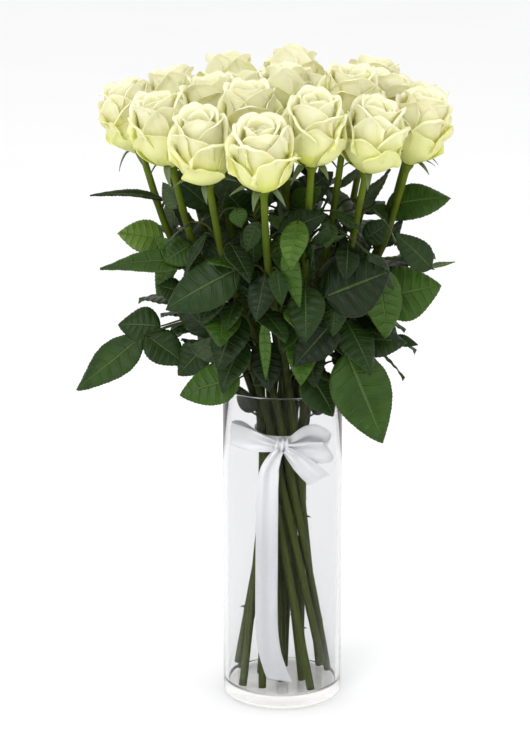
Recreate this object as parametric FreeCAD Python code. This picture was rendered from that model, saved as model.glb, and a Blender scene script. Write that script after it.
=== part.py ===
import FreeCAD, Part
import math
import os

from FreeCAD import Vector

# Glass cylinder vase holding a hand-tied bunch of nineteen roses, in millimetres.
# The origin is the centre of the vase's flat underside and +Z is up.
# The vase is one piece of thick glass; the bunch stands loose inside it on the feet of its stems.

# Vase
VASE_HEIGHT = 300.0
VASE_DIAMETER = 110.0
WALL = 4.0
BASE_THICKNESS = 12.0
UNDERSIDE_ROUND = 4.0
FLOOR_ROUND = 4.0

# Stems: they cross in a spiral, are narrowest at the waist and splay out to both ends
STEM_DIAMETER = 7.0
WAIST_HEIGHT = 205.0
OUTER_WAIST_RADIUS = 18.6
INNER_WAIST_RADIUS = 9.4
OUTER_WAIST_START = -29.0
INNER_WAIST_START = -40.0
OUTER_RING_STEP = 30.0
INNER_RING_STEP = 60.0
SPIRAL_SLOPE = 0.0113
TIGHTER_SPIRAL = {"08": 0.8, "09": 0.8}
FOOT_HEIGHT = BASE_THICKNESS + 2.0
FIRST_BEND_HEIGHT = 318.0
NECK_LENGTH = 75.0
BEND_SHARE = 0.45

# Blooms: each leans outward with its distance from the middle
BLOOM_RADIUS = 27.0
BLOOM_HEIGHT = 66.0
BLOOM_MIDDLE = 33.0
PETAL_WHORL = 1.8
WHORL_GAP = 3.0
WHORL_STEP = 6.5
HEART_TIP_RADIUS = 2.0
SIDE_LEAN = 0.0022
FRONT_LEAN = 0.0030
HIP_RADIUS = 6.0
HIP_HEIGHT = 9.0
HIP_MIDDLE_SHARES = (0.55, 0.45)

# A bloom's outline: its shoulder (radius share, height), where its wall turns straight,
# the heights of the lip and the valley of each petal cup as shares of the bloom's height,
# and the heart's shoulder and middle
BLOOM_SHOULDER = (0.78, 10.0)
BLOOM_WALL_START = 30.0
CUP_SHARES = ((0.86, 0.38), (0.94, 0.22), (0.98, 0.15))
HEART_SHOULDER_SHARE = 0.72
HEART_MIDDLE_SHARES = (0.72, 0.92)

# Leaves
BLADE_THICKNESS = 1.2
PETIOLE_DIAMETER = 2.2
PETIOLE_RISE = 14.0
PETIOLE_OVERLAP = 7.0

# Ribbon
RIBBON_WIDTH = 20.0
RIBBON_THICKNESS = 0.8
KNOT_HEIGHT = 249.0
KNOT_SIZE = Vector(16.0, 11.5, 15.0)
KNOT_CENTRE = Vector(-1.0, -31.0, KNOT_HEIGHT)
KNOT_ROUND_SHARE = 0.3
PINCHED_WIDTH = 7.0
BAND_RADIUS = 24.9
BAND_HEIGHT = 12.0

# Bow loops: the round at the knot (centre, radius), the round at the far end, and the tilt
LEFT_LOOP = (Vector(-8, -31, 0), 2.6, Vector(-38.5, -17, 0), 7.4, 10.0)
RIGHT_LOOP = (Vector(8, -31, 0), 2.6, Vector(35, -21, 0), 6.0, 5.0)

# Ribbon tails: the middle of each cross-section from the knot down, and its crosswise direction
LONG_TAIL = [
    Vector(-5, -35.5, 244),
    Vector(-13, -36, 226),
    Vector(-14, -38, 140),
    Vector(-14, -42.4, 75),
    Vector(-9, -42.8, 38),
    Vector(-3, -41.5, 14),
]
LONG_TAIL_ACROSS = Vector(1, 0, 0)
SHORT_TAIL = [
    Vector(5, -35.6, 245),
    Vector(20, -35.2, 231),
    Vector(33, -29, 215),
]
SHORT_TAIL_ACROSS = Vector(0.66, 0, 0.75)

# Each rose: azimuth of its bloom in degrees, its reach from the axis, its height,
# and how much shorter than the longest its stem is cut.
OUTER_ROSES = [
    (-98, 128, 535, 0),
    (-74, 97, 551, 6),
    (-42, 105, 541, 0),
    (-9, 121, 539, 32),
    (30, 141, 530, 0),
    (53, 136, 545, 14),
    (86, 122, 552, 0),
    (114, 121, 549, 0),
    (144, 120, 543, 8),
    (174, 137, 542, 0),
    (-155, 116, 542, 20),
    (-126, 118, 536, 4),
]
INNER_ROSES = [
    (-123, 53, 550, 12),
    (-21, 62, 561, 0),
    (17, 93, 547, 45),
    (65, 73, 538, 5),
    (118, 63, 543, 24),
    (175, 63, 548, 0),
]
CENTRE_ROSE = (70, 10, 557, 10)

# Each leaf: the rose it grows on, where its blade starts, its tip, its width,
# and the azimuth and elevation that its upper side faces.
LEAVES = [
    ("03", (56, -62, 345), (90, -80, 267), 54, -80, 20),
    ("04", (86, -14, 382), (143, -8, 394), 50, -80, 25),
    ("04", (92, -6, 466), (149, -12, 476), 36, -85, 40),
    ("03", (100, -26, 446), (134, -22, 412), 28, -70, 25),
    ("02", (36, -84, 402), (94, -78, 424), 54, -85, 30),
    ("12", (-38, -82, 427), (-103, -85, 391), 44, -95, 30),
    ("11", (-128, -12, 347), (-188, -18, 298), 36, -100, 40),
    ("11", (-72, -40, 425), (-164, -26, 414), 26, -100, 55),
    ("10", (-104, 2, 470), (-172, -18, 479), 14, -100, 70),
    ("10", (-107, 14, 430), (-149, 10, 438), 34, -95, 40),
    ("12", (-38, -62, 322), (-92, -62, 306), 38, -95, 30),
    ("01", (-4, -86, 461), (38, -90, 478), 26, -90, 30),
    ("01", (4, -92, 450), (15, -99, 396), 17, -100, 5),
    ("02", (46, -66, 376), (10, -77, 337), 34, -90, 15),
    ("04", (60, -34, 350), (112, -28, 346), 34, -85, 35),
    ("05", (92, 36, 398), (140, 52, 408), 44, 20, 50),
    ("05", (84, 30, 345), (124, 44, 318), 40, 20, 35),
    ("06", (70, 70, 420), (100, 112, 428), 44, 50, 50),
    ("06", (56, 62, 340), (84, 98, 300), 46, 50, 25),
    ("07", (6, 84, 400), (26, 138, 402), 48, 80, 50),
    ("07", (12, 74, 345), (16, 118, 305), 46, 85, 25),
    ("08", (-32, 76, 410), (-44, 132, 416), 46, 110, 50),
    ("08", (-36, 66, 345), (-52, 106, 308), 44, 110, 25),
    ("09", (-74, 60, 420), (-120, 88, 428), 44, 140, 50),
    ("09", (-72, 50, 350), (-112, 70, 318), 42, 140, 35),
    ("10", (-78, 18, 372), (-132, 30, 372), 44, 170, 50),
]


def unit(vector):
    return vector * (1.0 / vector.Length)


def polar(azimuth, radius, height):
    angle = math.radians(azimuth)
    return Vector(radius * math.cos(angle), radius * math.sin(angle), height)


def rose_table():
    """Name, waist place and bloom data of every rose: outer ring, inner ring, middle."""
    roses = []
    for turn, data in enumerate(OUTER_ROSES):
        roses.append((OUTER_WAIST_RADIUS, OUTER_WAIST_START + OUTER_RING_STEP * turn, data))
    for turn, data in enumerate(INNER_ROSES):
        roses.append((INNER_WAIST_RADIUS, INNER_WAIST_START + INNER_RING_STEP * turn, data))
    roses.append((0.0, 0.0, CENTRE_ROSE))
    return {"%02d" % (number + 1): rose for number, rose in enumerate(roses)}


def bloom_axis(data):
    azimuth, reach, height, _ = data
    centre = polar(azimuth, reach, height)
    return unit(Vector(SIDE_LEAN * centre.x, FRONT_LEAN * centre.y, 1.0))


def bloom_base(data):
    azimuth, reach, height, _ = data
    return polar(azimuth, reach, height) - bloom_axis(data) * BLOOM_MIDDLE


def spiral_point(name, radius, azimuth, height):
    """Where a stem's straight lower run passes a given height."""
    slope = SPIRAL_SLOPE * radius * TIGHTER_SPIRAL.get(name, 1.0)
    waist = polar(azimuth, radius, WAIST_HEIGHT)
    clockwise = polar(azimuth - 90.0, slope, 1.0)
    return waist + clockwise * (height - WAIST_HEIGHT)


def stem_route(name, rose):
    """Corner points of a stem's centre-line, from its cut foot to the hip below the bloom."""
    radius, azimuth, data = rose
    top = bloom_base(data) - bloom_axis(data) * HIP_HEIGHT
    foot = spiral_point(name, radius, azimuth, FOOT_HEIGHT + data[3])
    first_bend = spiral_point(name, radius, azimuth, FIRST_BEND_HEIGHT)
    second_bend = top - bloom_axis(data) * NECK_LENGTH
    return [foot, first_bend, second_bend, top]


def rounded_wire(route):
    """Straight runs joined by tangent arcs that are as large as the shorter run allows."""
    edges = []
    start = route[0]
    for before, corner, after in zip(route, route[1:], route[2:]):
        run_in = corner - before
        run_out = after - corner
        reach = BEND_SHARE * min(run_in.Length, run_out.Length)
        enter = corner - unit(run_in) * reach
        leave = corner + unit(run_out) * reach
        half_turn = run_in.getAngle(run_out) / 2.0
        bend_radius = reach / math.tan(half_turn)
        inward = unit(unit(run_out) - unit(run_in))
        bow = bend_radius * (1.0 / math.cos(half_turn) - 1.0)
        edges.append(Part.LineSegment(start, enter).toShape())
        edges.append(Part.Arc(enter, corner + inward * bow, leave).toShape())
        start = leave
    edges.append(Part.LineSegment(start, route[-1]).toShape())
    return Part.Wire(edges)


def route_point(route, height):
    """The point on a stem's corner-to-corner line at a given height."""
    for low, high in zip(route, route[1:]):
        if height <= high.z:
            return low + (high - low) * ((height - low.z) / (high.z - low.z))
    return route[-1]


def revolve(edges):
    return Part.Face(Part.Wire(edges)).revolve(Vector(0, 0, 0), Vector(0, 0, 1), 360)


def line(start, end):
    return Part.LineSegment(Vector(start[0], 0, start[1]), Vector(end[0], 0, end[1])).toShape()


def arc(start, middle, end):
    points = [Vector(place[0], 0, place[1]) for place in (start, middle, end)]
    return Part.Arc(*points).toShape()


def corner_arc(centre, radius, start_angle, end_angle):
    """A quarter or half round of the section, between two angles in degrees."""
    places = []
    for angle in (start_angle, (start_angle + end_angle) / 2.0, end_angle):
        turn = math.radians(angle)
        places.append((centre[0] + radius * math.cos(turn), centre[1] + radius * math.sin(turn)))
    return arc(*places)


def place_along(shape, base, axis):
    """Stand a shape that was made along +Z on a point, along an axis."""
    turned = shape.copy()
    turned.Placement = FreeCAD.Placement(base, FreeCAD.Rotation(Vector(0, 0, 1), axis))
    return turned


def make_vase():
    """Straight glass cylinder with a thick base, a rounded foot edge and a fire-polished rim."""
    outer = VASE_DIAMETER / 2.0
    inner = outer - WALL
    rim = WALL / 2.0
    rim_height = VASE_HEIGHT - rim
    section = [
        line((0, 0), (outer - UNDERSIDE_ROUND, 0)),
        corner_arc((outer - UNDERSIDE_ROUND, UNDERSIDE_ROUND), UNDERSIDE_ROUND, -90, 0),
        line((outer, UNDERSIDE_ROUND), (outer, rim_height)),
        corner_arc((outer - rim, rim_height), rim, 0, 180),
        line((inner, rim_height), (inner, BASE_THICKNESS + FLOOR_ROUND)),
        corner_arc((inner - FLOOR_ROUND, BASE_THICKNESS + FLOOR_ROUND), FLOOR_ROUND, 0, -90),
        line((inner - FLOOR_ROUND, BASE_THICKNESS), (0, BASE_THICKNESS)),
        line((0, BASE_THICKNESS), (0, 0)),
    ]
    return revolve(section)


def make_hip():
    """The green swelling that carries the bloom, as a short flare on the stem's end."""
    stem = STEM_DIAMETER / 2.0
    radius_share, height_share = HIP_MIDDLE_SHARES
    middle = (radius_share * (stem + HIP_RADIUS), height_share * HIP_HEIGHT)
    section = [
        line((0, 0), (stem, 0)),
        arc((stem, 0), middle, (HIP_RADIUS, HIP_HEIGHT)),
        line((HIP_RADIUS, HIP_HEIGHT), (0, HIP_HEIGHT)),
        line((0, HIP_HEIGHT), (0, 0)),
    ]
    return revolve(section)


def make_stem(name, rose):
    route = stem_route(name, rose)
    direction = unit(route[1] - route[0])
    circle = Part.Circle(route[0], direction, STEM_DIAMETER / 2.0).toShape()
    tube = rounded_wire(route).makePipeShell([Part.Wire([circle])], True, False)
    hip = place_along(make_hip(), route[-1], bloom_axis(rose[2]))
    return tube.fuse(hip).removeSplitter()


def make_bloom(data):
    """Three nested petal cups around a pointed heart, open at the top between the cups."""
    section = [line((0, 0), (HIP_RADIUS, 0))]
    shoulder = (BLOOM_SHOULDER[0] * BLOOM_RADIUS, BLOOM_SHOULDER[1])
    outside = (BLOOM_RADIUS, BLOOM_WALL_START)
    section.append(arc((HIP_RADIUS, 0), shoulder, outside))
    for cup, (lip_share, valley_share) in enumerate(CUP_SHARES):
        radius = BLOOM_RADIUS - cup * WHORL_STEP
        lip = lip_share * BLOOM_HEIGHT
        valley_height = valley_share * BLOOM_HEIGHT
        inside = radius - PETAL_WHORL
        valley = radius - PETAL_WHORL - WHORL_GAP
        section.append(line(outside, (radius, lip)))
        section.append(line((radius, lip), (inside, lip)))
        section.append(line((inside, lip), (inside, valley_height)))
        section.append(line((inside, valley_height), (valley, valley_height)))
        outside = (valley, valley_height)
    heart_shoulder = (outside[0], HEART_SHOULDER_SHARE * BLOOM_HEIGHT)
    heart_middle = (
        HEART_MIDDLE_SHARES[0] * outside[0],
        HEART_MIDDLE_SHARES[1] * BLOOM_HEIGHT,
    )
    heart_tip = (HEART_TIP_RADIUS, BLOOM_HEIGHT)
    section.append(line(outside, heart_shoulder))
    section.append(arc(heart_shoulder, heart_middle, heart_tip))
    section.append(line(heart_tip, (0, BLOOM_HEIGHT)))
    section.append(line((0, BLOOM_HEIGHT), (0, 0)))
    return place_along(revolve(section), bloom_base(data), bloom_axis(data))


def make_leaf(rose_route, base, tip, width, face_azimuth, face_elevation):
    """A flat lens-shaped blade on a thin petiole that starts inside its stem."""
    base = Vector(*base)
    tip = Vector(*tip)
    along = unit(tip - base)
    face = polar(face_azimuth, math.cos(math.radians(face_elevation)), 0.0)
    face.z = math.sin(math.radians(face_elevation))
    normal = unit(face - along * face.dot(along))
    sideways = along.cross(normal)
    middle = (base + tip) * 0.5
    left_edge = Part.Arc(base, middle + sideways * (width / 2.0), tip).toShape()
    right_edge = Part.Arc(tip, middle - sideways * (width / 2.0), base).toShape()
    blade = Part.Face(Part.Wire([left_edge, right_edge])).extrude(normal * BLADE_THICKNESS)
    joint = base + along * PETIOLE_OVERLAP + normal * (BLADE_THICKNESS / 2.0)
    root = route_point(rose_route, base.z - PETIOLE_RISE)
    petiole = Part.makeCylinder(PETIOLE_DIAMETER / 2.0, (joint - root).Length, root, joint - root)
    return petiole.fuse(blade)


def make_band():
    """The turns of ribbon around the bunch, as one ring."""
    bottom = Vector(0, 0, KNOT_HEIGHT - BAND_HEIGHT / 2.0)
    outer = Part.makeCylinder(BAND_RADIUS + RIBBON_THICKNESS, BAND_HEIGHT, bottom)
    inner = Part.makeCylinder(BAND_RADIUS, BAND_HEIGHT, bottom)
    return outer.cut(inner)


def make_knot():
    corner = KNOT_CENTRE - KNOT_SIZE * 0.5
    block = Part.makeBox(KNOT_SIZE.x, KNOT_SIZE.y, KNOT_SIZE.z, corner)
    return block.makeFillet(KNOT_ROUND_SHARE * KNOT_SIZE.y, block.Edges)


def teardrop_face(near, near_radius, far, far_radius):
    """The outline of a belt around two circles, in the horizontal plane."""
    span = far - near
    heading = math.atan2(span.y, span.x)
    opening = math.acos((near_radius - far_radius) / span.Length)
    edges = []
    corners = []
    for centre, radius, turn in ((near, near_radius, opening), (far, far_radius, opening)):
        for side in (1.0, -1.0):
            angle = heading + side * turn
            corners.append(centre + Vector(math.cos(angle), math.sin(angle), 0) * radius)
    near_left, near_right, far_left, far_right = corners
    back = near - unit(span) * near_radius
    front = far + unit(span) * far_radius
    edges.append(Part.Arc(near_left, back, near_right).toShape())
    edges.append(Part.LineSegment(near_right, far_right).toShape())
    edges.append(Part.Arc(far_right, front, far_left).toShape())
    edges.append(Part.LineSegment(far_left, near_left).toShape())
    return Part.Face(Part.Wire(edges))


def make_loop(near, near_radius, far, far_radius, tilt):
    """A bow loop: a strip on edge that runs out from the knot and back, tilted up or down."""
    outer = teardrop_face(near, near_radius, far, far_radius)
    inner = teardrop_face(near, near_radius - RIBBON_THICKNESS, far, far_radius - RIBBON_THICKNESS)
    strip = outer.cut(inner).extrude(Vector(0, 0, RIBBON_WIDTH))
    strip.translate(Vector(0, 0, KNOT_HEIGHT - RIBBON_WIDTH / 2.0))
    strip.rotate(KNOT_CENTRE, Vector(0, 1, 0), tilt)
    return strip


def make_tail(centres, across):
    """A flat strip, pinched at the knot, through cross-sections that all lie the same way round."""
    across = unit(across)
    widths = [PINCHED_WIDTH] + [RIBBON_WIDTH] * (len(centres) - 1)
    half_depth = Vector(0, RIBBON_THICKNESS / 2.0, 0)
    sections = []
    for centre, width in zip(centres, widths):
        half_width = across * (width / 2.0)
        corners = [
            centre - half_width - half_depth,
            centre + half_width - half_depth,
            centre + half_width + half_depth,
            centre - half_width + half_depth,
        ]
        sections.append(Part.makePolygon(corners + corners[:1]))
    return Part.makeLoft(sections, True, True)


def make_ribbon():
    return {
        "ribbon_band": make_band(),
        "ribbon_knot": make_knot(),
        "ribbon_loop_left": make_loop(*LEFT_LOOP),
        "ribbon_loop_right": make_loop(*RIGHT_LOOP),
        "ribbon_tail_long": make_tail(LONG_TAIL, LONG_TAIL_ACROSS),
        "ribbon_tail_short": make_tail(SHORT_TAIL, SHORT_TAIL_ACROSS),
    }


def make_nodes():
    nodes = {"vase": make_vase()}
    roses = rose_table()
    for name, rose in roses.items():
        nodes["stem_" + name] = make_stem(name, rose)
        nodes["bloom_" + name] = make_bloom(rose[2])
    for name, rose in roses.items():
        route = stem_route(name, rose)
        leaves = [make_leaf(route, *leaf[1:]) for leaf in LEAVES if leaf[0] == name]
        if leaves:
            nodes["leaves_" + name] = Part.makeCompound(leaves)
    nodes.update(make_ribbon())
    return nodes


def main():
    os.makedirs("parts", exist_ok=True)
    for name, shape in make_nodes().items():
        shape.exportStep("parts/" + name + ".step")
        sound = all(solid.isValid() and solid.isClosed() for solid in shape.Solids)
        print(name, len(shape.Solids), "solids", round(shape.Volume), "mm3", "sound" if sound else "BROKEN")


main()
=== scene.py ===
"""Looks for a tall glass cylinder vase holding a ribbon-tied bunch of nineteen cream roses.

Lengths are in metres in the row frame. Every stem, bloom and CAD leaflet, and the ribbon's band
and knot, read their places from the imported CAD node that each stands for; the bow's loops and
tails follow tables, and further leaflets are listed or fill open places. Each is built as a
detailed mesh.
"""

from math import cos, pi, radians, sin, tan

import bpy
import numpy as np
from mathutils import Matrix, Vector
from numpy.linalg import norm


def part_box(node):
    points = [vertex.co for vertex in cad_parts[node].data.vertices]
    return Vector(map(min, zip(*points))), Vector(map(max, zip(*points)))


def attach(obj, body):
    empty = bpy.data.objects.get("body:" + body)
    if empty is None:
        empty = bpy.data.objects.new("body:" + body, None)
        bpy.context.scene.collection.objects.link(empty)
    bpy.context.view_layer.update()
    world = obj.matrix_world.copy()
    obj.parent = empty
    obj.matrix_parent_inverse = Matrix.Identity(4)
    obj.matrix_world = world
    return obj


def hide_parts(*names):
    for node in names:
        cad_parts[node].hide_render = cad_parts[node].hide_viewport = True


MM = 0.001
UP = np.array([0.0, 0.0, 1.0])
SEED = 20
CAMERA_DISTANCE = 2.5257
CAMERA_HEIGHT = 1.0271
CAMERA_PITCH = radians(15.787)
CAMERA_TURN = radians(0.365)
CAMERA_LENS = 140.28

VASE_WALL = 4.0 * MM
VASE_BASE = 12.0 * MM
VASE_FOOT_ROUND = 4.0 * MM
VASE_FLOOR_ROUND = 4.0 * MM

GOLDEN_TURN = radians(137.5)
PETAL_THICKNESS = 0.45 * MM
LEAF_THICKNESS = 0.40 * MM
PETIOLE_RISE = 14.0 * MM
HIP_HEIGHT = 9.0 * MM
RIBBON_WIDTH = 20.0 * MM
RIBBON_THICKNESS = 0.5 * MM


# --- small helpers


def smooth(x, low=0.0, high=1.0):
    """0 below low, 1 above high, and a soft step between."""
    t = np.clip((x - low) / (high - low), 0.0, 1.0)
    return t * t * (3.0 - 2.0 * t)


def unit(v):
    v = np.asarray(v, float)
    return v / np.maximum(norm(v, axis=-1, keepdims=True), 1e-12)


def frame_from(along, face):
    """Columns: sideways, along and face, as a rotation matrix for a local x, y, z."""
    along = unit(along)
    face = np.asarray(face, float)
    face = unit(face - along * np.dot(face, along))
    return np.stack([np.cross(along, face), along, face], axis=1)


def grid_faces(rows, columns, closed=False):
    """Quads of a grid whose points run along its rows first."""
    faces = []
    span = columns if closed else columns - 1
    for i in range(rows - 1):
        for j in range(span):
            a = i * columns + j
            b = i * columns + (j + 1) % columns
            faces.append((a, b, b + columns, a + columns))
    return faces


def grid_normals(points):
    """Unit normals of a grid of points, rows x columns x 3."""
    down = np.gradient(points, axis=0)
    across = np.gradient(points, axis=1)
    return unit(np.cross(across, down))


class Soup:
    """Collects points, faces, materials and named values for one mesh."""

    def __init__(self):
        self.points = []
        self.faces = []
        self.slots = []
        self.values = {}
        self.count = 0

    def add(self, points, faces, slot=0, **values):
        points = np.asarray(points, float).reshape(-1, 3)
        for name in set(self.values) | set(values):
            new = np.asarray(values.get(name, 0.0), float)
            new = np.broadcast_to(new.reshape(-1) if new.ndim else new, (len(points),))
            old = self.values.setdefault(name, [np.zeros(self.count)] if self.count else [])
            old.append(new)
        self.points.append(points)
        self.faces.extend([tuple(self.count + k for k in face) for face in faces])
        self.slots.extend([slot] * len(faces))
        self.count += len(points)

    def shell(self, points, thickness, slot=0, **values):
        """A grid of points as a thin closed shell, with `under` 1 on its lower side."""
        rows, columns = points.shape[:2]
        normals = grid_normals(points)
        lower = points - normals * thickness
        size = rows * columns
        faces = grid_faces(rows, columns)
        faces += [tuple(size + k for k in face[::-1]) for face in faces]
        rim = list(range(columns))
        rim += [i * columns + columns - 1 for i in range(1, rows)]
        rim += [(rows - 1) * columns + j for j in range(columns - 2, -1, -1)]
        rim += [i * columns for i in range(rows - 2, 0, -1)]
        for a, b in zip(rim, rim[1:] + rim[:1]):
            faces.append((b, a, size + a, size + b))
        doubled = {
            name: np.tile(np.broadcast_to(value, (rows, columns)).reshape(-1), 2)
            for name, value in values.items()
        }
        under = np.repeat([0.0, 1.0], size)
        self.add(np.concatenate([points, lower]), faces, slot, under=under, **doubled)

    def tube(self, line, radii, sides, slot=0, **values):
        """Rings around a line of points, closed at both ends."""
        line = np.asarray(line, float)
        radii = np.broadcast_to(np.asarray(radii, float), (len(line),))
        heading = unit(np.gradient(line, axis=0))
        side = unit(np.cross(heading[0], [0.31, 0.95, 0.05]))
        rings = []
        for point, forward, radius in zip(line, heading, radii):
            side = unit(side - forward * np.dot(side, forward))
            other = np.cross(forward, side)
            turn = np.linspace(0.0, 2.0 * pi, sides, endpoint=False)[:, None]
            rings.append(point + radius * (np.cos(turn) * side + np.sin(turn) * other))
        points = np.concatenate(rings)
        faces = grid_faces(len(line), sides, closed=True)
        faces.append(tuple(range(sides))[::-1])
        last = (len(line) - 1) * sides
        faces.append(tuple(range(last, last + sides)))
        spread = {
            name: np.repeat(np.broadcast_to(value, (len(line),)), sides)
            for name, value in values.items()
        }
        self.add(points, faces, slot, **spread)

    def build(self, name, materials):
        mesh = bpy.data.meshes.new(name)
        points = np.concatenate(self.points)
        mesh.from_pydata(points.tolist(), [], self.faces)
        mesh.polygons.foreach_set("material_index", np.array(self.slots, dtype=np.int32))
        mesh.polygons.foreach_set("use_smooth", np.ones(len(self.faces), dtype=bool))
        for label, parts in self.values.items():
            attribute = mesh.attributes.new(label, "FLOAT", "POINT")
            attribute.data.foreach_set("value", np.concatenate(parts).astype(np.float32))
        for material in materials:
            mesh.materials.append(material)
        mesh.update()
        obj = bpy.data.objects.new(name, mesh)
        bpy.context.scene.collection.objects.link(obj)
        return obj


def smooth_line(points, count):
    """A soft curve through a few points, sampled evenly: Catmull-Rom."""
    points = np.asarray(points, float)
    padded = np.concatenate([[2 * points[0] - points[1]], points, [2 * points[-1] - points[-2]]])
    samples = []
    per_span = 24
    for i in range(len(points) - 1):
        p0, p1, p2, p3 = padded[i : i + 4]
        for t in np.linspace(0.0, 1.0, per_span, endpoint=False):
            a = 2 * p1 + (p2 - p0) * t
            b = (2 * p0 - 5 * p1 + 4 * p2 - p3) * t**2
            c = (3 * p1 - p0 - 3 * p2 + p3) * t**3
            samples.append(0.5 * (a + b + c))
    samples.append(points[-1])
    return even_line(np.array(samples), count)


def distance_along(line):
    return np.concatenate([[0.0], np.cumsum(norm(np.diff(line, axis=0), axis=1))])


def even_line(line, count):
    """The same line with its points evenly spaced."""
    distance = distance_along(line)
    at = np.linspace(0.0, distance[-1], count)
    return np.stack([np.interp(at, distance, line[:, k]) for k in range(3)], axis=1)


# --- material building


class Nodes:
    """Short hand for one material's node tree."""

    def __init__(self, name):
        self.material = bpy.data.materials.new(name)
        self.material.use_nodes = True
        self.tree = self.material.node_tree
        self.tree.nodes.clear()
        self.out = self.make("ShaderNodeOutputMaterial")

    def make(self, kind, **settings):
        node = self.tree.nodes.new(kind)
        for key, value in settings.items():
            setattr(node, key, value)
        return node

    def feed(self, socket, value):
        if isinstance(value, bpy.types.NodeSocket):
            self.tree.links.new(value, socket)
        elif value is not None:
            socket.default_value = value

    def wire(self, kind, *values, **settings):
        """A node whose inputs are fed in their own order."""
        node = self.make(kind, **settings)
        for socket, value in zip(node.inputs, values):
            self.feed(socket, value)
        return node.outputs[0]

    def with_alpha(self, colour):
        return (*colour, 1.0) if isinstance(colour, tuple) else colour

    def value(self, name):
        return self.make("ShaderNodeAttribute", attribute_name=name).outputs["Fac"]

    def place(self):
        return self.make("ShaderNodeTexCoord").outputs["Object"]

    def math(self, operation, a, b=None):
        return self.wire("ShaderNodeMath", a, b, operation=operation)

    def times(self, a, b):
        return self.math("MULTIPLY", a, b)

    def spread(self, value, amount):
        """A value's swing around one half, times an amount."""
        return self.times(self.math("SUBTRACT", value, 0.5), amount)

    def size_of(self, name):
        return self.math("ABSOLUTE", self.value(name))

    def height(self):
        split = self.make("ShaderNodeSeparateXYZ")
        self.feed(split.inputs[0], self.place())
        return split.outputs[2]

    def noise(self, scale, detail, rough=0.5, vector=None):
        node = self.make("ShaderNodeTexNoise")
        self.feed(node.inputs["Vector"], vector or self.place())
        self.feed(node.inputs["Scale"], scale)
        self.feed(node.inputs["Detail"], detail)
        self.feed(node.inputs["Roughness"], rough)
        return node.outputs["Fac"]

    def steps(self, value, *stops):
        """A soft colour ramp: stops are (position, colour)."""
        node = self.make("ShaderNodeValToRGB")
        ramp = node.color_ramp
        ramp.interpolation = "EASE"
        while len(ramp.elements) < len(stops):
            ramp.elements.new(0.5)
        for element, (position, colour) in zip(ramp.elements, stops):
            element.position = position
            element.color = (*colour, 1.0)
        self.feed(node.inputs["Fac"], value)
        return node.outputs["Color"]

    def span(self, value, low, high, to_low=0.0, to_high=1.0):
        """A number that follows value softly, from to_low at low to to_high at high."""
        settings = {"interpolation_type": "SMOOTHSTEP"}
        return self.wire("ShaderNodeMapRange", value, low, high, to_low, to_high, **settings)

    def mix(self, share, a, b):
        node = self.make("ShaderNodeMix", data_type="RGBA")
        self.feed(node.inputs[0], share)
        self.feed(node.inputs[6], self.with_alpha(a))
        self.feed(node.inputs[7], self.with_alpha(b))
        return node.outputs[2]

    def bump(self, height, strength, distance, below=None):
        node = self.make("ShaderNodeBump")
        self.feed(node.inputs["Height"], height)
        self.feed(node.inputs["Strength"], strength)
        self.feed(node.inputs["Distance"], distance)
        self.feed(node.inputs["Normal"], below)
        return node.outputs["Normal"]

    def principled(self, **inputs):
        node = self.make("ShaderNodeBsdfPrincipled")
        for key, value in inputs.items():
            self.feed(node.inputs[key.replace("_", " ")], value)
        return node.outputs["BSDF"]

    def see_through(self, surface, colour, share):
        """Light from behind shows through a thin petal, leaf or ribbon."""
        back = self.wire("ShaderNodeBsdfTranslucent", self.with_alpha(colour))
        return self.wire("ShaderNodeMixShader", share, surface, back)

    def finish(self, surface):
        self.tree.links.new(surface, self.out.inputs["Surface"])
        return self.material


# --- materials


def glass_material():
    """Clear glass whose shadow stays light, as a thick clear vase's does; its foot is tinted
    warmer and lighter, partly its own tint and partly painted light against the shade at the
    stems' feet.
    """
    n = Nodes("clear_glass")
    # Painted light: below the glass floor the foot is lighter and warmer than the walls, partly
    # the thick glass's own tint, partly lifting the shade around the stems' feet.
    foot = n.span(n.height(), 0.010, 0.016, 1.0, 0.0)
    glass = n.principled(
        Base_Color=n.mix(foot, (0.855, 0.856, 0.862), (0.955, 0.945, 0.915)),
        Roughness=0.0,
        IOR=1.47,
        Specular_Tint=(0.10, 0.10, 0.10, 1.0),
        Transmission_Weight=1.0,
    )
    clear = n.wire("ShaderNodeBsdfTransparent", (0.95, 0.96, 0.96, 1.0))
    shadow = n.make("ShaderNodeLightPath").outputs["Is Shadow Ray"]
    return n.finish(n.wire("ShaderNodeMixShader", shadow, glass, clear))


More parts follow.
